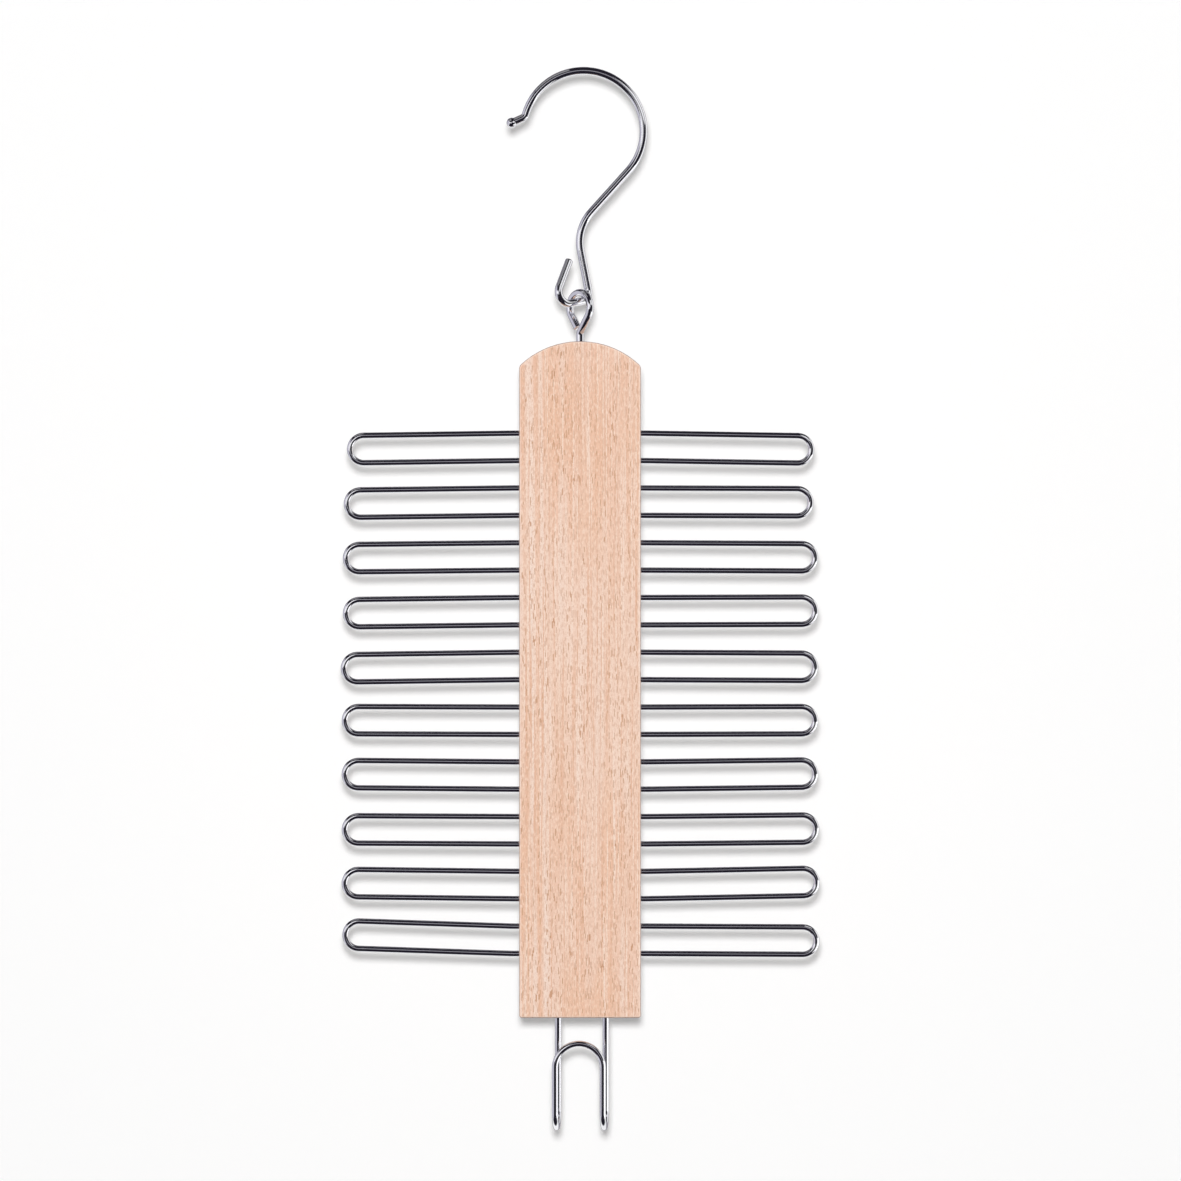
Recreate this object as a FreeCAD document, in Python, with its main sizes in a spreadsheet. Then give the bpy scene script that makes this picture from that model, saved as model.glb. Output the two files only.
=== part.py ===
import FreeCAD, Part
import math
import os
import Sketcher
from FreeCAD import Placement, Rotation, Vector

# Tie hanger: a beech board hung from a wire hook, with ten bent wire loops on each side for ties
# and a double hook below for belts. Millimetres and degrees, +Z up, the front faces -Y.
# The origin is inside the crown of the rail hook, where the hanger sits on a rail.

doc = FreeCAD.newDocument("tie_hanger")

# Driving sizes, one cell each.
SIZES = (
    # Board
    ("board_width", 51.0),
    ("board_height", 284.0),
    ("board_thickness", 13.0),
    ("arch_radius", 36.5),
    ("arch_corner_radius", 2.5),
    ("foot_corner_radius", 1.0),
    ("edge_rounding", 0.8),
    # Drilled holes: a wire's clearance is on the radius, and its end stays off the hole's bottom.
    ("hole_clearance", 0.05),
    ("eye_clearance", 0.08),
    ("hole_end_gap", 0.3),
    # The loops' holes are spread evenly down each side, from below the crown to above the foot.
    ("first_hole_drop", 38.7),
    ("last_hole_rise", 26.8),
    # Tie loops: hairpins that leave the board level, then droop or rise a little
    ("loop_wire", 2.6),
    ("loop_insert", 19.0),
    ("loop_reach", 74.5),
    ("loop_lead", 2.0),
    ("droop_radius", 60.0),
    # Screw eye
    ("eye_wire", 3.2),
    ("eye_insert", 22.0),
    ("eye_neck_rise", 2.7),
    ("eye_neck_radius", 3.0),
    ("eye_neck_angle", 36.0),
    ("eye_ring_radius", 6.2),
    ("eye_end_gap", 0.25),
    ("eye_turned", 47.0),
    ("eye_point", 0.9),
    ("thread_length", 15.0),
    ("thread_pitch", 1.8),
    ("thread_depth", 0.45),
    # Rail hook, from its lower loop upwards
    ("hook_wire", 3.3),
    ("shank_length", 16.2),
    ("hook_lean", 11.0),
    ("sway_radius", 18.9),
    ("hook_slant", 42.0),
    ("slant_length", 23.1),
    ("hook_inner_radius", 23.6),
    ("rail_turn", 206.0),
    ("kink_radius", 2.5),
    ("kink_turn", 50.0),
    ("tip_neck", 4.9),
    ("ball_diameter", 4.4),
    # Lower loop of the rail hook, twisted about the shank
    ("link_radius", 4.8),
    ("link_flat", 5.8),
    ("link_turn", 217.0),
    ("link_tip", 13.0),
    ("link_twist", 36.0),
    ("link_tip_rounding", 0.6),
    # How the eye hangs in that loop: where it sits along the straight part, and the room above the wire
    ("link_seat_share", 0.1),
    ("link_gap", 0.45),
    # Belt hook
    ("belt_wire", 2.6),
    ("belt_insert", 18.0),
    ("belt_spacing", 20.0),
    ("belt_offset", 0.8),
    ("belt_drop", 47.2),
    ("belt_depth", 16.0),
    ("belt_front_height", 37.8),
    ("belt_lean", 4.5),
)

# Each tie loop, from the top: its share of the full reach, and its droop in degrees (up is negative).
LEFT_LOOP_SHARES = (
    (0.973, 0.8), (0.991, 0.7), (0.996, 0.6), (0.996, 0.7), (1.008, 0.8),
    (1.001, -0.2), (1.001, -0.5), (1.001, -0.3), (1.001, -0.7), (0.996, -1.9),
)
RIGHT_LOOP_SHARES = (
    (0.980, 0.9), (0.975, 0.2), (1.001, 0.3), (1.001, -0.2), (1.001, 0.3),
    (1.000, -0.2), (1.000, -0.7), (1.005, -0.6), (1.008, -1.1), (1.008, 0.3),
)
LOOPS_PER_SIDE = len(LEFT_LOOP_SHARES)
HOLES_PER_SIDE = 2 * LOOPS_PER_SIDE

# Sizes worked out from the driving ones.
WORKED_OUT = (
    ("hole_run", "sizes.board_height - sizes.first_hole_drop - sizes.last_hole_rise"),
    ("hole_pitch", "hole_run / %d" % (HOLES_PER_SIDE - 1)),
    ("rail_radius", "sizes.hook_inner_radius + sizes.hook_wire / 2"),
    ("hook_bow", "sizes.sway_radius * (sin(sizes.hook_lean) + sin(sizes.hook_slant))"),
    ("hook_rise", "sizes.shank_length * cos(sizes.hook_lean) + sizes.slant_length * cos(sizes.hook_slant)"),
    ("hook_arch", "rail_radius * (1 + sin(sizes.hook_slant))"),
    ("link_height", "sizes.hook_wire / 2 - hook_bow - hook_rise - hook_arch"),
    ("link_run", "sizes.link_radius + sizes.link_seat_share * sizes.link_flat"),
    ("link_across", "link_run * cos(sizes.link_twist)"),
    ("link_right", "link_across * cos(sizes.hook_lean) - sizes.link_radius * sin(sizes.hook_lean)"),
    ("link_fall", "link_across * sin(sizes.hook_lean) + sizes.link_radius * cos(sizes.hook_lean)"),
    ("link_seat", "link_height - link_fall + (sizes.hook_wire + sizes.eye_wire) / 2 + sizes.link_gap"),
    ("eye_axis", "-link_run * sin(sizes.link_twist)"),
    ("ring_height", "link_seat - sizes.eye_ring_radius"),
    ("neck_swell", "sizes.eye_neck_radius * (1 - cos(sizes.eye_neck_angle))"),
    ("neck_fall", "(sizes.eye_ring_radius + neck_swell) / sin(sizes.eye_neck_angle)"),
    ("ring_side", "sizes.eye_ring_radius * cos(sizes.eye_neck_angle)"),
    ("eye_strand", "(ring_side - neck_swell) / sin(sizes.eye_neck_angle)"),
    ("eye_end_width", "sizes.eye_wire / 2 * (1 + cos(2 * sizes.eye_neck_angle)) + sizes.eye_end_gap"),
    ("eye_end_side", "eye_end_width / (2 * cos(sizes.eye_neck_angle))"),
    ("eye_return", "(ring_side - eye_end_side) / sin(sizes.eye_neck_angle)"),
    ("board_top", "ring_height - neck_fall - sizes.eye_neck_rise"),
    ("board_foot", "board_top - sizes.board_height"),
    ("belt_bend", "sizes.belt_depth / 2"),
    ("belt_arch", "sizes.belt_spacing / 2"),
    ("belt_back_leg", "sizes.belt_insert + sizes.belt_drop - sizes.belt_wire / 2 - belt_bend"),
    ("belt_front_leg", "sizes.belt_front_height - sizes.belt_wire - belt_bend - belt_arch"),
    ("belt_spring", "sizes.belt_wire / 2 + belt_bend + belt_front_leg - sizes.belt_drop"),
)


def fill_sheet(name, rows, lead=""):
    sheet = doc.addObject("Spreadsheet::Sheet", name)
    for row, (alias, content) in enumerate(rows, 1):
        sheet.set("A%d" % row, alias)
        sheet.set("B%d" % row, lead + str(content))
        sheet.setAlias("B%d" % row, alias)
    doc.recompute()
    return sheet


def value(owner, expression):
    return float(owner.evalExpression(expression))


def new_body(label):
    body = doc.addObject("PartDesign::Body", label)
    body.Label = label
    return body


def place(body, x="0", y="0", z="0"):
    body.setExpression("Placement.Base.x", x)
    body.setExpression("Placement.Base.y", y)
    body.setExpression("Placement.Base.z", z)


def turn(body, axis, angle):
    body.Placement = Placement(Vector(), Rotation(axis, value(body, angle)))
    body.setExpression("Placement.Rotation.Angle", angle)


def origin_feature(body, role):
    return next(feature for feature in body.Origin.OriginFeatures if feature.Role == role)


def new_sketch(body, name, role, lift="0"):
    # lift moves the sketch along its plane's normal.
    sketch = body.newObject("Sketcher::SketchObject", name)
    sketch.AttachmentSupport = [(origin_feature(body, role), "")]
    sketch.MapMode = "FlatFace"
    sketch.setExpression("AttachmentOffset.Base.z", lift)
    doc.recompute()
    return sketch


def turn_sketch(sketch, axis, angle):
    # The axis is in the sketch's own plane and normal.
    offset = sketch.AttachmentOffset
    offset.Rotation = Rotation(axis, value(sketch, angle))
    sketch.AttachmentOffset = offset
    sketch.setExpression("AttachmentOffset.Rotation.Angle", angle)
    doc.recompute()


def bind(sketch, constraint, expression):
    index = sketch.addConstraint(constraint)
    sketch.setExpression("Constraints[%d]" % index, expression)


def pin_point(sketch, geometry, corner, x, y):
    # Holds a point at a place given by two expressions, measured from the sketch's origin.
    for kind, axis, expression in (("DistanceX", -2, x), ("DistanceY", -1, y)):
        distance = value(sketch, expression)
        if expression == "0":
            sketch.addConstraint(Sketcher.Constraint("PointOnObject", geometry, corner, axis))
        elif distance > 0:
            bind(sketch, Sketcher.Constraint(kind, -1, 1, geometry, corner, distance), expression)
        else:
            bind(sketch, Sketcher.Constraint(kind, geometry, corner, -1, 1, -distance), "-(%s)" % expression)


def draw_circle(sketch, x, y, diameter):
    centre = Vector(value(sketch, x), value(sketch, y), 0)
    radius = value(sketch, diameter) / 2
    index = sketch.addGeometry(Part.Circle(centre, Vector(0, 0, 1), radius), False)
    pin_point(sketch, index, 3, x, y)
    bind(sketch, Sketcher.Constraint("Diameter", index, 2 * radius), diameter)


def draw_path(sketch, x, y, heading, steps):
    # Draws a chain in which every line and arc is tangent to the one before.
    # A step is ("line", length), ("left", radius, turn) or ("right", radius, turn).
    # A path that starts with an arc leaves the sketch's horizontal axis at a right angle.
    # Returns where the path ends, in the body's own frame.
    point = Vector(value(sketch, x), value(sketch, y), 0)
    angle = math.radians(heading)
    before = None
    for kind, size, *bend in steps:
        length = value(sketch, size)
        if kind == "line":
            end = point + Vector(math.cos(angle), math.sin(angle), 0) * length
            index = sketch.addGeometry(Part.LineSegment(point, end), False)
            bind(sketch, Sketcher.Constraint("Distance", index, length), size)
            corners = (1, 2)
        else:
            side = 1 if kind == "left" else -1
            swept = math.radians(value(sketch, bend[0]))
            centre = point + Vector(-math.sin(angle), math.cos(angle), 0) * length * side
            begin = math.atan2(point.y - centre.y, point.x - centre.x)
            finish = begin + side * swept
            circle = Part.Circle(centre, Vector(0, 0, 1), length)
            arc = Part.ArcOfCircle(circle, min(begin, finish), max(begin, finish))
            index = sketch.addGeometry(arc, False)
            bind(sketch, Sketcher.Constraint("Radius", index, length), size)
            bind(sketch, Sketcher.Constraint("Angle", index, swept), bend[0])
            corners = (1, 2) if side > 0 else (2, 1)
            end = centre + Vector(math.cos(finish), math.sin(finish), 0) * length
            angle += side * swept
        if before:
            sketch.addConstraint(Sketcher.Constraint("Tangent", before[0], before[1], index, corners[0]))
        else:
            pin_point(sketch, index, corners[0], x, y)
            if kind == "line":
                sketch.addConstraint(Sketcher.Constraint("Angle", index, angle))
            else:
                sketch.addConstraint(Sketcher.Constraint("PointOnObject", index, 3, -1))
        before = (index, corners[1])
        point = end
    doc.recompute()
    return sketch.Placement.multVec(point)


def sweep(body, name, profile, spine):
    pipe = body.newObject("PartDesign::AdditivePipe", name)
    pipe.Profile = profile
    pipe.Spine = (spine, [])
    doc.recompute()
    return pipe


def edges_where(feature, test):
    return ["Edge%d" % number for number, edge in enumerate(feature.Shape.Edges, 1) if test(edge)]


def round_edges(body, name, base, edges, radius):
    fillet = body.newObject("PartDesign::Fillet", name)
    fillet.Base = (base, edges)
    fillet.setExpression("Radius", radius)
    doc.recompute()
    return fillet


def drill(body, name, sketch, depth, inward):
    # Blind holes at the sketch's circles; inward says that the sketch's normal points into the wood.
    before = body.Shape.Volume
    pocket = body.newObject("PartDesign::Pocket", name)
    pocket.Profile = sketch
    pocket.Reversed = inward
    pocket.setExpression("Length", depth)
    doc.recompute()
    if pocket.Shape.Volume >= before:
        raise RuntimeError("%s cuts nothing" % name)
    return pocket


def drill_side(body, side):
    # A column of holes down one side of the board.
    right = side == "right"
    lift = "sizes.board_width / 2" if right else "-sizes.board_width / 2"
    sketch = new_sketch(body, side + "_hole", "YZ_Plane", lift)
    draw_circle(sketch, "0", "-sizes.first_hole_drop", "sizes.loop_wire + 2 * sizes.hole_clearance")
    hole = drill(body, side + "_first_hole", sketch, "sizes.loop_insert + sizes.hole_end_gap", not right)
    column = body.newObject("PartDesign::LinearPattern", side + "_holes")
    column.Originals = [hole]
    column.Direction = (origin_feature(body, "Z_Axis"), [""])
    column.Reversed = True
    column.Mode = "Spacing"
    column.Occurrences = HOLES_PER_SIDE
    column.setExpression("Offset", "worked_out.hole_pitch")
    body.Tip = column
    doc.recompute()
    return column


def make_board():
    # The board's own origin is the crown of its arch, at half its thickness.
    body = new_body("board")
    place(body, y="worked_out.eye_axis", z="worked_out.board_top")
    outline = new_sketch(body, "outline", "XZ_Plane")
    half = value(outline, "sizes.board_width / 2")
    foot = -value(outline, "sizes.board_height")
    radius = value(outline, "sizes.arch_radius")
    shoulder = math.sqrt(radius ** 2 - half ** 2) - radius
    crown = Part.Circle(Vector(0, -radius, 0), Vector(0, 0, 1), radius)
    reach = math.asin(half / radius)
    arch = outline.addGeometry(Part.ArcOfCircle(crown, math.pi / 2 - reach, math.pi / 2 + reach), False)
    left = outline.addGeometry(Part.LineSegment(Vector(-half, shoulder, 0), Vector(-half, foot, 0)), False)
    base = outline.addGeometry(Part.LineSegment(Vector(-half, foot, 0), Vector(half, foot, 0)), False)
    right = outline.addGeometry(Part.LineSegment(Vector(half, foot, 0), Vector(half, shoulder, 0)), False)
    for first, second in ((arch, left), (left, base), (base, right), (right, arch)):
        outline.addConstraint(Sketcher.Constraint("Coincident", first, 2, second, 1))
    outline.addConstraint(Sketcher.Constraint("Vertical", left))
    outline.addConstraint(Sketcher.Constraint("Vertical", right))
    outline.addConstraint(Sketcher.Constraint("Symmetric", base, 1, base, 2, -2))
    bind(outline, Sketcher.Constraint("Distance", base, 2 * half), "sizes.board_width")
    bind(outline, Sketcher.Constraint("DistanceY", base, 1, -1, 1, -foot), "sizes.board_height")
    bind(outline, Sketcher.Constraint("Radius", arch, radius), "sizes.arch_radius")
    pin_point(outline, arch, 3, "0", "-sizes.arch_radius")
    plank = body.newObject("PartDesign::Pad", "plank")
    plank.Profile = outline
    plank.SideType = "Symmetric"
    plank.setExpression("Length", "sizes.board_thickness")
    doc.recompute()

    def is_corner(edge):
        return abs(edge.tangentAt(edge.FirstParameter).y) > 0.99

    middle = foot / 2
    upper = edges_where(plank, lambda edge: is_corner(edge) and edge.CenterOfMass.z > middle)
    shaped = round_edges(body, "arch_corners", plank, upper, "sizes.arch_corner_radius")
    lower = edges_where(shaped, lambda edge: is_corner(edge) and edge.CenterOfMass.z < middle)
    shaped = round_edges(body, "foot_corners", shaped, lower, "sizes.foot_corner_radius")
    rim = edges_where(shaped, lambda edge: not is_corner(edge))
    round_edges(body, "rounded_rim", shaped, rim, "sizes.edge_rounding")

    drill_side(body, "left")
    drill_side(body, "right")
    sketch = new_sketch(body, "eye_hole_place", "XY_Plane")
    draw_circle(sketch, "0", "0", "sizes.eye_wire + 2 * sizes.eye_clearance")
    drill(body, "eye_hole", sketch, "sizes.eye_insert + sizes.hole_end_gap", False)
    sketch = new_sketch(body, "belt_hole_places", "XY_Plane", "-sizes.board_height")
    for leg in ("sizes.belt_offset - sizes.belt_spacing / 2", "sizes.belt_offset + sizes.belt_spacing / 2"):
        draw_circle(sketch, leg, "0", "sizes.belt_wire + 2 * sizes.hole_clearance")
    drill(body, "belt_holes", sketch, "sizes.belt_insert + sizes.hole_end_gap", True)
    return body


def make_tie_loop(side, number, share, droop):
    # The loop's own origin is on the board's side, midway between its two holes, with +X outwards.
    body = new_body("tie_loop_%s_%d" % (side, number))
    edge = "sizes.board_width / 2"
    if side == "left":
        turn(body, Vector(0, 0, 1), "180")
        edge = "-sizes.board_width / 2"
    drop = "sizes.first_hole_drop + %.1f * worked_out.hole_pitch" % (2 * number - 1.5)
    place(body, edge, "worked_out.eye_axis", "worked_out.board_top - (%s)" % drop)
    bend = "%.1f" % abs(droop)
    straight = "sizes.loop_insert + sizes.loop_lead"
    end_radius = "worked_out.hole_pitch * cos(%s) / 2" % bend
    lead_and_bend = "sizes.loop_lead + sizes.droop_radius * sin(%s)" % bend
    rounded_end = "(worked_out.hole_pitch + sizes.loop_wire) / 2"
    upper_leg = "sizes.loop_reach * %.3f - (%s) - %s" % (share, lead_and_bend, rounded_end)
    lower_leg = "%s - worked_out.hole_pitch * sin(%.1f)" % (upper_leg, droop)
    away, back = ("right", "left") if droop > 0 else ("left", "right")
    spine = new_sketch(body, body.Label + "_spine", "XZ_Plane")
    draw_path(spine, "-sizes.loop_insert", "worked_out.hole_pitch / 2", 0, (
        ("line", straight),
        (away, "sizes.droop_radius", bend),
        ("line", upper_leg),
        ("right", end_radius, "180"),
        ("line", lower_leg),
        (back, "sizes.droop_radius", bend),
        ("line", straight),
    ))
    profile = new_sketch(body, body.Label + "_profile", "YZ_Plane", "-sizes.loop_insert")
    draw_circle(profile, "0", "worked_out.hole_pitch / 2", "sizes.loop_wire")
    sweep(body, body.Label + "_wire", profile, spine)
    return body


def make_screw_eye():
    # The eye's own origin is where its shank enters the crown of the board.
    body = new_body("screw_eye")
    turn(body, Vector(0, 0, -1), "sizes.eye_turned")
    place(body, y="worked_out.eye_axis", z="worked_out.board_top")
    spine = new_sketch(body, "eye_spine", "XZ_Plane")
    draw_path(spine, "0", "-sizes.eye_insert", 90, (
        ("line", "sizes.eye_insert + sizes.eye_neck_rise"),
        ("right", "sizes.eye_neck_radius", "sizes.eye_neck_angle"),
        ("line", "worked_out.eye_strand"),
        ("left", "sizes.eye_ring_radius", "180 + 2 * sizes.eye_neck_angle"),
        ("line", "worked_out.eye_return"),
    ))
    profile = new_sketch(body, "eye_profile", "XY_Plane", "-sizes.eye_insert")
    draw_circle(profile, "0", "0", "sizes.eye_wire")
    wire = sweep(body, "eye_wire_bent", profile, spine)
    low = -value(body, "sizes.eye_insert")
    end = edges_where(wire, lambda edge: edge.BoundBox.ZMax < low / 2 and edge.BoundBox.ZLength < -low / 2)
    point = body.newObject("PartDesign::Chamfer", "eye_point_cut")
    point.Base = (wire, end)
    point.setExpression("Size", "sizes.eye_point")
    doc.recompute()

    groove = new_sketch(body, "thread_groove", "XZ_Plane")
    root = value(groove, "sizes.eye_wire / 2 - sizes.thread_depth")
    crest = value(groove, "sizes.eye_wire / 2 + sizes.thread_depth")
    start = value(groove, "-sizes.eye_insert + sizes.eye_point")
    flank = value(groove, "2 * sizes.thread_depth")
    corners = (Vector(root, start, 0), Vector(crest, start - flank, 0), Vector(crest, start + flank, 0))
    for first, second in ((0, 1), (1, 2), (2, 0)):
        groove.addGeometry(Part.LineSegment(corners[first], corners[second]), False)
    for first, second in ((0, 1), (1, 2), (2, 0)):
        groove.addConstraint(Sketcher.Constraint("Coincident", first, 2, second, 1))
    pin_point(groove, 0, 1, "sizes.eye_wire / 2 - sizes.thread_depth", "-sizes.eye_insert + sizes.eye_point")
    groove.addConstraint(Sketcher.Constraint("Vertical", 1))
    groove.addConstraint(Sketcher.Constraint("Equal", 0, 2))
    bind(groove, Sketcher.Constraint("Distance", 1, 2 * flank), "4 * sizes.thread_depth")
    groove_depth = Sketcher.Constraint("DistanceX", 0, 1, 0, 2, crest - root)
    bind(groove, groove_depth, "2 * sizes.thread_depth")
    thread = body.newObject("PartDesign::SubtractiveHelix", "thread")
    thread.Profile = groove
    thread.ReferenceAxis = (origin_feature(body, "Z_Axis"), [""])
    thread.Mode = "pitch-height-angle"
    thread.setExpression("Pitch", "sizes.thread_pitch")
    thread.setExpression("Height", "sizes.thread_length")
    doc.recompute()
    return body


def make_rail_hook():
    # The hook's own origin is where its lower loop starts, with its shank along Z.
    body = new_body("rail_hook")
    turn(body, Vector(0, -1, 0), "sizes.hook_lean")
    place(body, x="worked_out.link_right", z="worked_out.link_height")
    profile = new_sketch(body, "hook_profile", "XY_Plane")
    draw_circle(profile, "0", "0", "sizes.hook_wire")
    spine = new_sketch(body, "rail_spine", "XZ_Plane")
    tip = draw_path(spine, "0", "0", 90, (
        ("line", "sizes.shank_length"),
        ("right", "sizes.sway_radius", "sizes.hook_lean + sizes.hook_slant"),
        ("line", "sizes.slant_length"),
        ("left", "worked_out.rail_radius", "sizes.rail_turn"),
        ("right", "sizes.kink_radius", "sizes.kink_turn"),
        ("line", "sizes.tip_neck"),
    ))
    sweep(body, "rail_arc", profile, spine)
    ball = body.newObject("PartDesign::AdditiveSphere", "ball_tip")
    gaps = [corner.Point.distanceToPoint(tip) for corner in spine.Shape.Vertexes]
    ball.AttachmentSupport = [(spine, "Vertex%d" % (gaps.index(min(gaps)) + 1))]
    ball.MapMode = "Translate"
    ball.setExpression("Radius", "sizes.ball_diameter / 2")
    doc.recompute()
    loop_spine = new_sketch(body, "link_spine", "XZ_Plane")
    turn_sketch(loop_spine, Vector(0, 1, 0), "sizes.link_twist")
    end = draw_path(loop_spine, "0", "0", 270, (
        ("right", "sizes.link_radius", "90"),
        ("line", "sizes.link_flat"),
        ("right", "sizes.link_radius", "sizes.link_turn - 90"),
        ("line", "sizes.link_tip"),
    ))
    loop = sweep(body, "link_loop", profile, loop_spine)
    wire = value(body, "sizes.hook_wire")

    def is_tip(edge):
        return edge.Closed and (edge.CenterOfMass - end).Length < wire / 2

    round_edges(body, "link_tip_end", loop, edges_where(loop, is_tip), "sizes.link_tip_rounding")
    return body


def make_belt_hook():
    # The belt hook's own origin is on the foot of the board, midway between its two legs.
    body = new_body("belt_hook")
    place(body, "sizes.belt_offset", "worked_out.eye_axis", "worked_out.board_foot")
    leg_spine = new_sketch(body, "belt_leg_spine", "YZ_Plane", "worked_out.belt_arch")
    turn_sketch(leg_spine, Vector(0, -1, 0), "sizes.belt_lean")
    draw_path(leg_spine, "0", "sizes.belt_insert", 270, (
        ("line", "worked_out.belt_back_leg"),
        ("right", "worked_out.belt_bend", "180"),
        ("line", "worked_out.belt_front_leg"),
    ))
    leg_profile = new_sketch(body, "belt_leg_profile", "XY_Plane", "sizes.belt_insert")
    draw_circle(leg_profile, "worked_out.belt_arch", "0", "sizes.belt_wire")
    leg = sweep(body, "belt_leg", leg_profile, leg_spine)
    shift = "-sizes.belt_depth * sin(sizes.belt_lean)"
    forward = "sizes.belt_depth * cos(sizes.belt_lean)"
    arch_spine = new_sketch(body, "belt_arch_spine", "XZ_Plane", forward)
    arch_spine.setExpression("AttachmentOffset.Base.x", shift)
    arch_spine.setExpression("AttachmentOffset.Base.y", "worked_out.belt_spring")
    doc.recompute()
    draw_path(arch_spine, "worked_out.belt_arch", "0", 90, (("left", "worked_out.belt_arch", "180"),))
    arch_profile = new_sketch(body, "belt_arch_profile", "XY_Plane", "worked_out.belt_spring")
    draw_circle(arch_profile, "worked_out.belt_arch + " + shift, "-(%s)" % forward, "sizes.belt_wire")
    sweep(body, "belt_arch_wire", arch_profile, arch_spine)
    pair = body.newObject("PartDesign::LinearPattern", "belt_legs")
    pair.Originals = [leg]
    pair.Direction = (origin_feature(body, "X_Axis"), [""])
    pair.Reversed = True
    pair.Mode = "Spacing"
    pair.Occurrences = 2
    pair.setExpression("Offset", "sizes.belt_spacing")
    body.Tip = pair
    doc.recompute()
    return body


def export(pieces):
    for item in doc.Objects:
        if "Invalid" in item.State or "Error" in item.State:
            raise RuntimeError("%s failed: %s" % (item.Label, item.State))
    os.makedirs("parts", exist_ok=True)
    for piece in pieces:
        shape = piece.Shape
        if shape.isNull() or not shape.isValid() or len(shape.Solids) != 1:
            raise RuntimeError("%s is not one valid solid" % piece.Label)
        shape.exportStep("parts/%s.step" % piece.Label)


fill_sheet("sizes", SIZES)
fill_sheet("worked_out", WORKED_OUT, "=")
pieces = [make_board(), make_screw_eye(), make_rail_hook(), make_belt_hook()]
for side, shares in (("left", LEFT_LOOP_SHARES), ("right", RIGHT_LOOP_SHARES)):
    for number, (share, droop) in enumerate(shares, 1):
        pieces.append(make_tie_loop(side, number, share, droop))
export(pieces)
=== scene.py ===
import math

import bpy
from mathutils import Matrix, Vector

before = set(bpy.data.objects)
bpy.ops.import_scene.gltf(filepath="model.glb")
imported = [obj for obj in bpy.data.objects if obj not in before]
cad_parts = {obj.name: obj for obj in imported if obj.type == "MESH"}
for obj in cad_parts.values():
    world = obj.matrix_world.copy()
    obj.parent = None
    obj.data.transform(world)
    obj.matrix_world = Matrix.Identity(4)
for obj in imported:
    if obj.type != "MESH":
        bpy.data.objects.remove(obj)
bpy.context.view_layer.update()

# Lengths are in metres where nothing else is said, and colours are linear.
MM = 0.001
WHITE = (1, 1, 1, 1)

# The photograph, which looks straight at the front of the hanger.
PHOTO_PIXELS = 1181
MM_PER_PIXEL = 0.42
FRAME_WIDTH = PHOTO_PIXELS * MM_PER_PIXEL * MM
VIEW_CENTRE = Vector((4.4 * MM, -3.2 * MM, -216.7 * MM))
CAMERA_DISTANCE = 9.0
CAMERA_REACH = 50.0
SENSOR_WIDTH_MM = 36.0

# The stage: a white wall far enough behind the hanger for its swing, and a floor below the frame.
WALL_Y = 0.30
WALL_TOP = 0.10
FLOOR_Z = -0.515
FLOOR_FRONT = -0.35
STAGE_HALF_WIDTH = 0.75
PAPER_GREY = (0.96, 0.96, 0.96, 1)
PAPER_WHITE = (0.99, 0.99, 0.99, 1)
PAPER_GLOW = 0.03

# Plain noise: the scale along each axis, in turns per millimetre, and the detail.
SWAY = ((0.05, 0.05, 0.016), 1.0)
WAVER = ((0.45, 0.45, 0.16), 1.0)
CLOUDS = ((0.055, 0.055, 0.011), 2.0)
BANDS = ((0.27, 0.27, 0.003), 2.0)
MOTTLE = ((3.6, 3.6, 2.2), 1.0)
PORE_ROWS = ((0.5, 0.5, 0.012), 2.0)
HANDLING = ((0.07, 0.07, 0.07), 3.0)
SPECKS = ((1.8, 1.8, 1.8), 2.0)
SCRATCHES = ((0.9, 6.0, 6.0), 2.0)
PAPER = ((0.3, 0.3, 0.3), 4.0)

# Noise in bundles of fibres: a bundle's width and its changes' length, in millimetres, and the detail.
STREAKS = (0.45, 110.0, 1.0)
FIBRES = (0.34, 2.4, 1.0)
PORES = (0.32, 5.0, 0.0)

# A length in millimetres that the whole board fits in.
BOARD_SPAN = 1000.0

# How far the fibres stray sideways, in millimetres, over a long and over a short run.
SWAY_SHIFT = 1.6
WAVER_SHIFT = 0.45

# Noise lies about its mean. A layer comes in from one level of its noise to another.
NOISE_MEAN = 0.5
UPPER_HALF = (NOISE_MEAN, 0.74)
LOWER_HALF = (NOISE_MEAN, 0.26)
BAND_LEVELS = (0.35, 0.65)
CLOUD_LEVELS = (0.40, 0.60)
MOTTLE_LEVELS = (NOISE_MEAN, 0.70)
PORE_LEVELS = (0.64, 0.71)
PORE_ROW_LEVELS = (0.36, 0.62)
STREAK_ROUGH_LEVELS = (0.3, 0.7)
HANDLED_LEVELS = (0.35, 0.7)
HANDLED_ROUGH_LEVELS = (0.4, 0.75)
SPECK_LEVELS = (0.70, 0.78)
SPECK_ROUGH_LEVELS = (0.66, 0.8)

# Tints of the beech.
BAND_PALE = (0.888, 0.662, 0.549, 1)
BAND_TAN = (0.88, 0.571, 0.423, 1)
CLOUD_TAN = (0.84, 0.51, 0.342, 1)
ZONE_PALE = (0.92, 0.74, 0.64, 1)
STRIPE_DARK = (0.82, 0.495, 0.335, 1)
STRIPE_PALE = (0.93, 0.78, 0.70, 1)
STREAK_DARK = (0.80, 0.485, 0.335, 1)
STREAK_PALE = (0.935, 0.735, 0.625, 1)
FIBRE_DARK = (0.745, 0.465, 0.325, 1)
FIBRE_PALE = (0.95, 0.735, 0.615, 1)
MOTTLE_DARK = (0.76, 0.485, 0.35, 1)
PORE_DARK = (0.61, 0.335, 0.205, 1)
# Painted highlight and painted shade on the rounded rim.
RIM_PAINTED_HIGHLIGHT = (0.98, 0.82, 0.72, 1)
RIM_PAINTED_SHADE = (0.30, 0.215, 0.195, 1)

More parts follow.
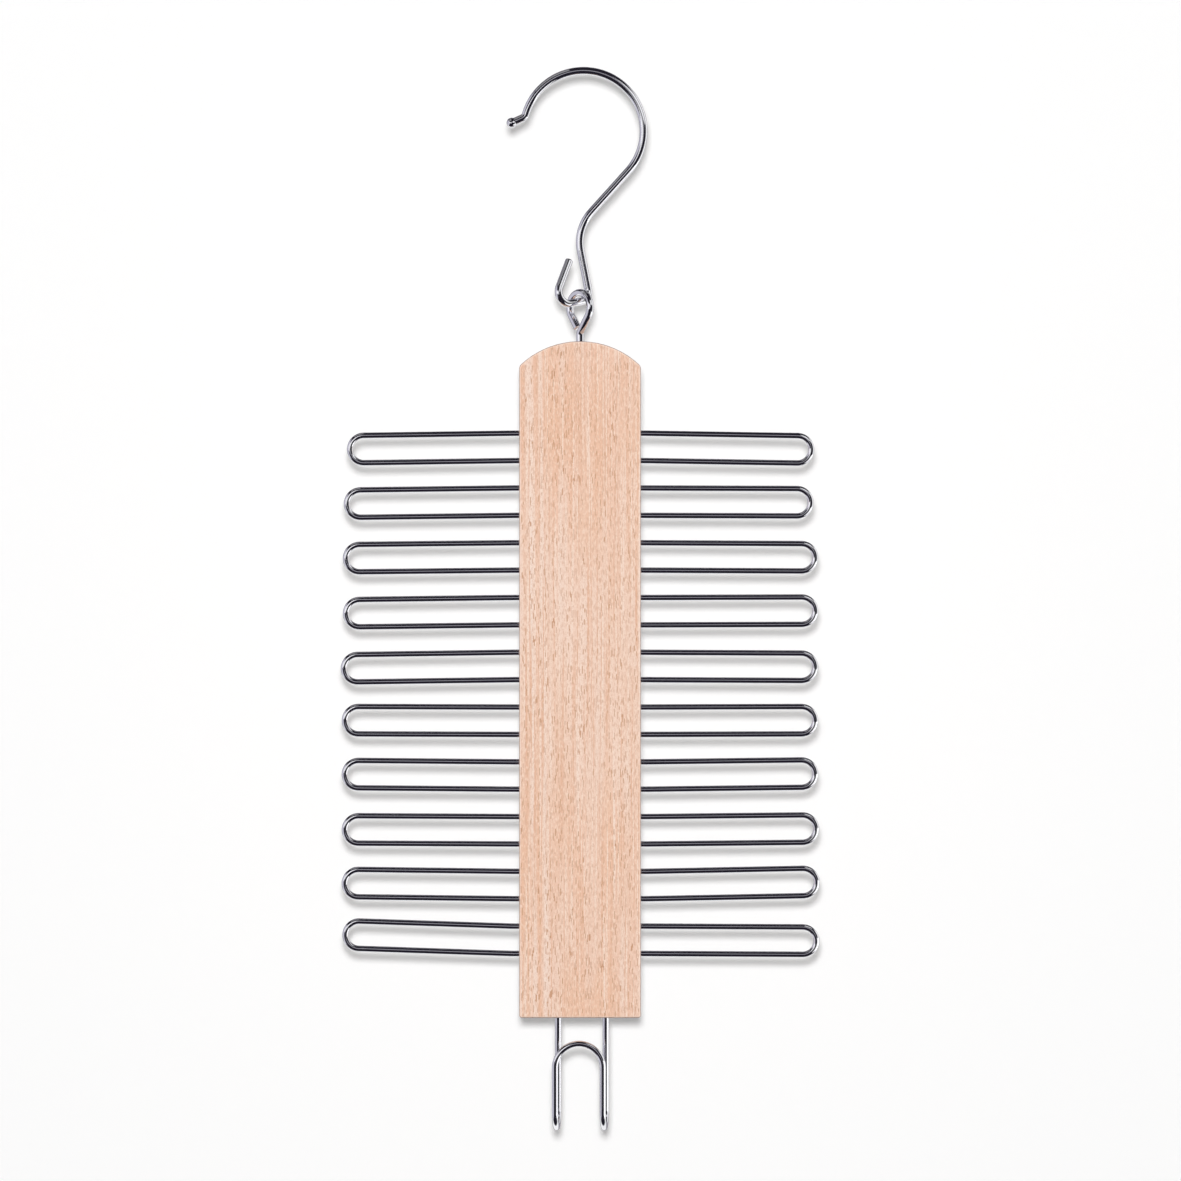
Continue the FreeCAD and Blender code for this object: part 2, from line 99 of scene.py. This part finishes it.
# How much of its tint each layer of the beech takes on at most.
CLOUD_STRENGTH = 0.75
FIBRE_STRENGTH = 0.65
MOTTLE_STRENGTH = 0.6
# The rim's painted highlight and painted shade.
RIM_PAINTED_HIGHLIGHT_STRENGTH = 0.45
RIM_PAINTED_SHADE_STRENGTH = 0.85

# The pores' share of their tint, from rows where they are faint to rows where they are marked.
PORE_ROW_SHARES = (0.25, 1.0)

# The beech's surface: roughness from the wood between streaks to the streaks, what pores add, and relief.
BEECH_ROUGHNESS = (0.50, 0.60)
PORE_ROUGHNESS = 0.15
FIBRE_RELIEF = 0.5
BEECH_BUMP = {"Strength": 0.25, "Distance": 0.05 * MM}

# Zones of the board: middle height and reach in millimetres, strength and tint.
ZONES = (
    (-255.0, 90.0, 0.50, ZONE_PALE),
    (-332.0, 45.0, 0.35, CLOUD_TAN),
)

# Stripes beside the left edge: middle and half width in millimetres, strength and tint.
STRIPES = (
    (-25.2, 1.6, 0.50, STRIPE_DARK),
    (-22.7, 1.8, 0.65, STRIPE_PALE),
    (-20.3, 1.1, 0.55, STRIPE_DARK),
    (-17.9, 1.5, 0.60, STRIPE_PALE),
)
# The direction across the stripes, which lean a little.
STRIPE_ACROSS = (1, 0, 0.010)

# The share of a zone's reach, or a stripe's half width, that has its full strength.
ZONE_CORE = 0.15
STRIPE_CORE = 0.2

# The rounded rim, by how squarely it faces front or back: where its painted highlight line and its
# painted shade start and end.
RIM_PAINTED_HIGHLIGHT_START = (0.995, 0.97)
RIM_PAINTED_HIGHLIGHT_END = (0.80, 0.93)
RIM_PAINTED_SHADE_START = (0.85, 0.55)
RIM_PAINTED_SHADE_END = (0.02, 0.12)

# The chrome: tints, roughness from clean to handled places, what specks add, and fine scratches.
CHROME_CLEAN = (0.88, 0.88, 0.91, 1)
CHROME_HANDLED = (0.81, 0.81, 0.84, 1)
CHROME_SPECK = (0.45, 0.44, 0.46, 1)
SPECK_STRENGTH = 0.5
CHROME_ROUGHNESS = (0.08, 0.15)
SPECK_ROUGHNESS = (0.0, 0.12)
CHROME_BUMP = {"Strength": 0.04, "Distance": 0.02 * MM}

# The room that the metal mirrors. A mask is the product of steps along the axes of the direction.
ROOM_DIM = (0.016, 0.014, 0.022, 1)
ROOM_STRIP = (0.42, 0.41, 0.45, 1)
ROOM_LEFT = (0.58, 0.57, 0.65, 1)
ROOM_BEHIND = (0.31, 0.30, 0.335, 1)
STRIP_MASK = (("z", -0.02, 0.10), ("z", 0.36, 0.24), ("y", -0.5, -0.7), ("aside", 0.35, 0.20))
LEFT_MASK = (("x", -0.62, -0.85), ("z", -0.68, -0.50), ("z", 0.75, 0.50))
RIGHT_MASK = (("x", 0.35, 0.60), ("z", -0.68, -0.50), ("z", 0.75, 0.50), ("y", -0.42, -0.10))
BELOW_MASK = (("z", -0.15, -0.45), ("y", 0.10, 0.32))
BEHIND_MASK = (("y", 0.50, 0.80), ("z", -0.35, -0.10))

# Soft light from the sides and from above, and how sharply it gathers there.
SOFT_SIDES = 2.60
SOFT_ABOVE = 1.10
SOFT_POWER = 4.0

# The key lamp beside the camera, with its power in watts.
KEY_OFFSET = Vector((-0.010, 0, 0.096))
KEY_WIDTH = 0.125
KEY_WATTS = 512.0

# Upright cards: name, azimuth in degrees, distance, lower and upper edge, width, and brightness, where 1
# is white.
CARDS = (
    ("upper_left_card", -33, 1.20, -0.20, 0.22, 1.12, 0.86),
    ("upper_right_card", 40, 0.50, 0.03, 0.33, 0.36, 0.95),
    ("lower_right_card", 70, 0.50, -0.75, -0.30, 0.51, 1.05),
)

# A level card over the hanger, with its power in watts.
CEILING_PLACE = (-0.36, -0.17, 0.50)
CEILING_TARGET = (-0.36, -0.17, 0)
CEILING_SIZE = (0.48, 0.65)
CEILING_WATTS = 0.25


def add(tree, kind, inputs=None, **settings):
    """A new node; an input is a plain value or another node's output."""
    node = tree.nodes.new(kind)
    for name, setting in settings.items():
        setattr(node, name, setting)
    for socket, content in (inputs or {}).items():
        if isinstance(content, bpy.types.NodeSocket):
            tree.links.new(content, node.inputs[socket])
        else:
            node.inputs[socket].default_value = content
    return node


def maths(tree, operation, first, second=0.0):
    return add(tree, "ShaderNodeMath", {0: first, 1: second}, operation=operation).outputs[0]


def ramp(tree, value, low, high, start=0.0, end=1.0):
    """A smooth step from start to end while value goes from low to high."""
    node = add(tree, "ShaderNodeMapRange", {
        "Value": value, "From Min": low, "From Max": high, "To Min": start, "To Max": end,
    }, interpolation_type="SMOOTHSTEP")
    return node.outputs["Result"]


def steps(tree, edges):
    """The product of smooth steps; an edge is a value and the limits where its step starts and ends."""
    product = 1.0
    for value, low, high in edges:
        product = maths(tree, "MULTIPLY", ramp(tree, value, low, high), product)
    return product


def mix(tree, factor, first, second):
    """A mix of two colours, whose sockets are 6 and 7 of the node's many."""
    return add(tree, "ShaderNodeMix", {0: factor, 6: first, 7: second}, data_type="RGBA").outputs[2]


def tinted(tree, colour, tint, value, levels, strength=1.0):
    """A colour that takes on a tint, up to strength, while value goes from one level to the other."""
    return mix(tree, ramp(tree, value, *levels, 0.0, strength), colour, tint)


def noise(tree, place, scale, detail):
    """Noise in lengths of 1 / scale per axis, for a place in millimetres."""
    stretched = add(tree, "ShaderNodeVectorMath", {0: place, 1: scale}, operation="MULTIPLY")
    node = add(tree, "ShaderNodeTexNoise", {
        "Vector": stretched.outputs[0], "Scale": 1.0, "Detail": detail,
    })
    return node.outputs["Fac"]


def bundle_noise(tree, place, width, length, detail):
    """Noise along Z in lengths of length, of its own in each bundle of fibres, width across."""
    cell = (width, width, BOARD_SPAN)
    bundle = add(tree, "ShaderNodeVectorMath", {0: place, 1: cell}, operation="SNAP")
    start = add(tree, "ShaderNodeTexWhiteNoise", {"Vector": bundle.outputs[0]}, noise_dimensions="3D")
    height = add(tree, "ShaderNodeSeparateXYZ", {"Vector": place}).outputs["Z"]
    along = maths(tree, "ADD", maths(tree, "DIVIDE", height, length),
                  maths(tree, "MULTIPLY", start.outputs["Value"], BOARD_SPAN))
    node = add(tree, "ShaderNodeTexNoise", {
        "W": along, "Scale": 1.0, "Detail": detail,
    }, noise_dimensions="1D")
    return node.outputs["Fac"]


def new_material(name):
    material = bpy.data.materials.new(name)
    material.use_nodes = True
    material.node_tree.nodes.clear()
    return material, material.node_tree


def place_in_mm(tree):
    coordinates = add(tree, "ShaderNodeTexCoord")
    scaled = add(tree, "ShaderNodeVectorMath", {0: coordinates.outputs["Object"], "Scale": 1 / MM},
                 operation="SCALE")
    return scaled.outputs[0]


def make_beech():
    material, tree = new_material("beech_board")
    place = place_in_mm(tree)
    # The fibres run along Z and waver a little sideways.
    sway = maths(tree, "SUBTRACT", noise(tree, place, *SWAY), NOISE_MEAN)
    waver = maths(tree, "SUBTRACT", noise(tree, place, *WAVER), NOISE_MEAN)
    sideways = maths(tree, "ADD", maths(tree, "MULTIPLY", sway, SWAY_SHIFT),
                     maths(tree, "MULTIPLY", waver, WAVER_SHIFT))
    shift = add(tree, "ShaderNodeCombineXYZ", {"X": sideways})
    grain = add(tree, "ShaderNodeVectorMath", {0: place, 1: shift.outputs[0]}, operation="ADD").outputs[0]

    clouds = noise(tree, place, *CLOUDS)
    bands = noise(tree, grain, *BANDS)
    streaks = bundle_noise(tree, grain, *STREAKS)
    fibres = bundle_noise(tree, grain, *FIBRES)
    mottle = noise(tree, grain, *MOTTLE)
    pores = bundle_noise(tree, grain, *PORES)
    pore_rows = noise(tree, grain, *PORE_ROWS)

    colour = tinted(tree, BAND_PALE, BAND_TAN, bands, BAND_LEVELS)
    colour = tinted(tree, colour, CLOUD_TAN, clouds, CLOUD_LEVELS, CLOUD_STRENGTH)
    # The board is palest half way down, and darker in a zone below that.
    height = add(tree, "ShaderNodeSeparateXYZ", {"Vector": place}).outputs["Z"]
    for middle, reach, strength, tint in ZONES:
        away = maths(tree, "ABSOLUTE", maths(tree, "SUBTRACT", height, middle))
        colour = tinted(tree, colour, tint, away, (reach, ZONE_CORE * reach), strength)
    # Two pale stripes run down beside the left edge, slightly aslant, each with a darker line before it.
    across = add(tree, "ShaderNodeVectorMath", {0: place, 1: STRIPE_ACROSS}, operation="DOT_PRODUCT")
    for middle, half_width, strength, tint in STRIPES:
        aside = maths(tree, "ABSOLUTE", maths(tree, "SUBTRACT", across.outputs["Value"], middle))
        colour = tinted(tree, colour, tint, aside, (half_width, STRIPE_CORE * half_width), strength)
    colour = tinted(tree, colour, STREAK_DARK, streaks, UPPER_HALF)
    colour = tinted(tree, colour, STREAK_PALE, streaks, LOWER_HALF)
    colour = tinted(tree, colour, FIBRE_PALE, fibres, UPPER_HALF, FIBRE_STRENGTH)
    colour = tinted(tree, colour, FIBRE_DARK, fibres, LOWER_HALF, FIBRE_STRENGTH)
    colour = tinted(tree, colour, MOTTLE_DARK, mottle, MOTTLE_LEVELS, MOTTLE_STRENGTH)
    # Pores are short dark flecks, more marked in some rows than in others.
    rows = ramp(tree, pore_rows, *PORE_ROW_LEVELS, *PORE_ROW_SHARES)
    flecks = maths(tree, "MULTIPLY", ramp(tree, pores, *PORE_LEVELS), rows)
    colour = mix(tree, flecks, colour, PORE_DARK)

    # The rounded rim gets a painted highlight along its start, then painted shade towards the sides, by
    # how squarely it faces front.
    normal = add(tree, "ShaderNodeTexCoord").outputs["Normal"]
    facing = add(tree, "ShaderNodeSeparateXYZ", {"Vector": normal})
    flat = maths(tree, "ABSOLUTE", facing.outputs["Y"])
    painted_highlight = steps(tree, ((flat, *RIM_PAINTED_HIGHLIGHT_START), (flat, *RIM_PAINTED_HIGHLIGHT_END)))
    colour = mix(tree, maths(tree, "MULTIPLY", painted_highlight, RIM_PAINTED_HIGHLIGHT_STRENGTH), colour, RIM_PAINTED_HIGHLIGHT)
    painted_shade = steps(tree, ((flat, *RIM_PAINTED_SHADE_START), (flat, *RIM_PAINTED_SHADE_END)))
    colour = mix(tree, maths(tree, "MULTIPLY", painted_shade, RIM_PAINTED_SHADE_STRENGTH), colour, RIM_PAINTED_SHADE)

    # Streaks are a little rougher than the wood between them, and pores are rougher and sunk.
    rough = maths(tree, "ADD", ramp(tree, streaks, *STREAK_ROUGH_LEVELS, *BEECH_ROUGHNESS),
                  maths(tree, "MULTIPLY", flecks, PORE_ROUGHNESS))
    relief = maths(tree, "SUBTRACT", maths(tree, "MULTIPLY", fibres, FIBRE_RELIEF), flecks)
    bump = add(tree, "ShaderNodeBump", {"Height": relief, **BEECH_BUMP})
    shader = add(tree, "ShaderNodeBsdfPrincipled", {
        "Base Color": colour, "Roughness": rough, "Normal": bump.outputs["Normal"],
    })
    add(tree, "ShaderNodeOutputMaterial", {"Surface": shader.outputs[0]})
    return material


def make_chrome():
    material, tree = new_material("chrome_wire")
    place = place_in_mm(tree)
    handling = noise(tree, place, *HANDLING)
    specks = noise(tree, place, *SPECKS)
    scratches = noise(tree, place, *SCRATCHES)
    colour = tinted(tree, CHROME_CLEAN, CHROME_HANDLED, handling, HANDLED_LEVELS)
    colour = tinted(tree, colour, CHROME_SPECK, specks, SPECK_LEVELS, SPECK_STRENGTH)
    # Handled places are duller than clean ones, and specks duller still.
    rough = maths(tree, "ADD", ramp(tree, handling, *HANDLED_ROUGH_LEVELS, *CHROME_ROUGHNESS),
                  ramp(tree, specks, *SPECK_ROUGH_LEVELS, *SPECK_ROUGHNESS))
    bump = add(tree, "ShaderNodeBump", {"Height": scratches, **CHROME_BUMP})
    shader = add(tree, "ShaderNodeBsdfPrincipled", {
        "Base Color": colour, "Metallic": 1.0, "Roughness": rough, "Normal": bump.outputs["Normal"],
    })
    add(tree, "ShaderNodeOutputMaterial", {"Surface": shader.outputs[0]})
    return material


def dress(node, material):
    for slot in node.material_slots:
        slot.material = material


def make_paper():
    """White paper; its back is clear, so that it hides nothing from a camera behind or below it."""
    material, tree = new_material("white_paper")
    colour = mix(tree, noise(tree, place_in_mm(tree), *PAPER), PAPER_GREY, PAPER_WHITE)
    white = add(tree, "ShaderNodeBsdfDiffuse", {"Color": colour})
    glow = add(tree, "ShaderNodeEmission", {"Color": WHITE, "Strength": PAPER_GLOW})
    front = add(tree, "ShaderNodeAddShader", {0: white.outputs[0], 1: glow.outputs[0]})
    clear = add(tree, "ShaderNodeBsdfTransparent")
    side = add(tree, "ShaderNodeNewGeometry")
    shader = add(tree, "ShaderNodeMixShader", {
        0: side.outputs["Backfacing"], 1: front.outputs[0], 2: clear.outputs[0],
    })
    add(tree, "ShaderNodeOutputMaterial", {"Surface": shader.outputs[0]})
    return material


def make_stage():
    paper = make_paper()
    left, right = -STAGE_HALF_WIDTH, STAGE_HALF_WIDTH
    sheets = {
        "wall": (
            (left, WALL_Y, FLOOR_Z), (right, WALL_Y, FLOOR_Z),
            (right, WALL_Y, WALL_TOP), (left, WALL_Y, WALL_TOP),
        ),
        "floor": (
            (left, FLOOR_FRONT, FLOOR_Z), (right, FLOOR_FRONT, FLOOR_Z),
            (right, WALL_Y, FLOOR_Z), (left, WALL_Y, FLOOR_Z),
        ),
    }
    for name, corners in sheets.items():
        mesh = bpy.data.meshes.new(name)
        mesh.from_pydata(corners, [], [(0, 1, 2, 3)])
        mesh.materials.append(paper)
        sheet = bpy.data.objects.new(name, mesh)
        bpy.context.scene.collection.objects.link(sheet)
        # The metal mirrors the room of make_world in place of the sheets.
        sheet.visible_glossy = False
        # The floor throws no light back, so that the board is lit evenly from top to bottom.
        sheet.visible_diffuse = name != "floor"


def aim(thing, target):
    thing.rotation_euler = (Vector(target) - thing.location).to_track_quat("-Z", "Y").to_euler()


def make_camera():
    data = bpy.data.cameras.new("camera")
    data.sensor_width = SENSOR_WIDTH_MM
    data.lens = data.sensor_width * CAMERA_DISTANCE / FRAME_WIDTH
    data.clip_end = CAMERA_REACH
    camera = bpy.data.objects.new("camera", data)
    camera.location = VIEW_CENTRE - Vector((0, CAMERA_DISTANCE, 0))
    bpy.context.scene.collection.objects.link(camera)
    aim(camera, VIEW_CENTRE)
    bpy.context.scene.camera = camera
    return camera


def make_lamp(name, shape, place, target, size, energy):
    data = bpy.data.lights.new(name, "AREA")
    data.shape = shape
    data.size, data.size_y = size
    data.energy = energy
    lamp = bpy.data.objects.new(name, data)
    lamp.location = place
    bpy.context.scene.collection.objects.link(lamp)
    aim(lamp, target)
    lamp.visible_camera = False
    return lamp


def make_key(camera):
    place = camera.location + KEY_OFFSET
    key = make_lamp("key", "DISK", place, VIEW_CENTRE, (KEY_WIDTH, KEY_WIDTH), KEY_WATTS)
    key.visible_glossy = False


def make_cards():
    """Bright cards that only the metal mirrors; azimuth 0 is straight in front, 90 is to the right."""
    for name, azimuth, away, low, high, width, brightness in CARDS:
        bearing = math.radians(azimuth)
        centre = Vector((away * math.sin(bearing), -away * math.cos(bearing), (low + high) / 2))
        target = (0, 0, centre.z)
        height = high - low
        watts = brightness * math.pi * width * height
        card = make_lamp(name, "RECTANGLE", centre, target, (width, height), watts)
        card.visible_diffuse = False
    ceiling = make_lamp("ceiling_card", "RECTANGLE", CEILING_PLACE, CEILING_TARGET,
                        CEILING_SIZE, CEILING_WATTS)
    ceiling.visible_diffuse = False


def make_world():
    world = bpy.data.worlds.new("studio")
    bpy.context.scene.world = world
    world.use_nodes = True
    tree = world.node_tree
    tree.nodes.clear()
    direction = add(tree, "ShaderNodeTexCoord").outputs["Generated"]
    outputs = add(tree, "ShaderNodeSeparateXYZ", {"Vector": direction}).outputs
    axes = {"x": outputs["X"], "y": outputs["Y"], "z": outputs["Z"]}
    axes["aside"] = maths(tree, "ABSOLUTE", axes["x"])
    # Mirror rays meet the camera's white on the right and below. Elsewhere they meet a dim room: a low
    # bright strip in front, a lilac wall on the left and, straight behind, a grey that keeps the wires'
    # outlines.
    strip, left, right, below, behind = (
        steps(tree, [(axes[axis], low, high) for axis, low, high in mask])
        for mask in (STRIP_MASK, LEFT_MASK, RIGHT_MASK, BELOW_MASK, BEHIND_MASK)
    )
    room = mix(tree, strip, ROOM_DIM, ROOM_STRIP)
    room = mix(tree, left, room, ROOM_LEFT)
    room = mix(tree, maths(tree, "MAXIMUM", right, below), room, WHITE)
    room = mix(tree, behind, room, ROOM_BEHIND)
    path = add(tree, "ShaderNodeLightPath")
    mirrored = path.outputs["Is Glossy Ray"]
    seen = maths(tree, "MAXIMUM", path.outputs["Is Camera Ray"], path.outputs["Is Transmission Ray"])
    surroundings = add(tree, "ShaderNodeBackground", {"Color": mix(tree, mirrored, WHITE, room)})
    # Soft light for all else comes from both sides and from above.
    sides = maths(tree, "MULTIPLY", maths(tree, "POWER", axes["x"], SOFT_POWER), SOFT_SIDES)
    upper = maths(tree, "MAXIMUM", axes["z"], 0.0)
    above = maths(tree, "MULTIPLY", maths(tree, "POWER", upper, SOFT_POWER), SOFT_ABOVE)
    soft = add(tree, "ShaderNodeBackground", {
        "Color": WHITE, "Strength": maths(tree, "ADD", sides, above),
    })
    lit = add(tree, "ShaderNodeMixShader", {
        0: maths(tree, "MAXIMUM", seen, mirrored), 1: soft.outputs[0], 2: surroundings.outputs[0],
    })
    add(tree, "ShaderNodeOutputWorld", {"Surface": lit.outputs[0]})


beech = make_beech()
chrome = make_chrome()
for name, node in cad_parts.items():
    dress(node, beech if name == "board" else chrome)
make_stage()
camera = make_camera()
make_world()
make_key(camera)
make_cards()
bpy.context.scene.view_settings.view_transform = "Standard"
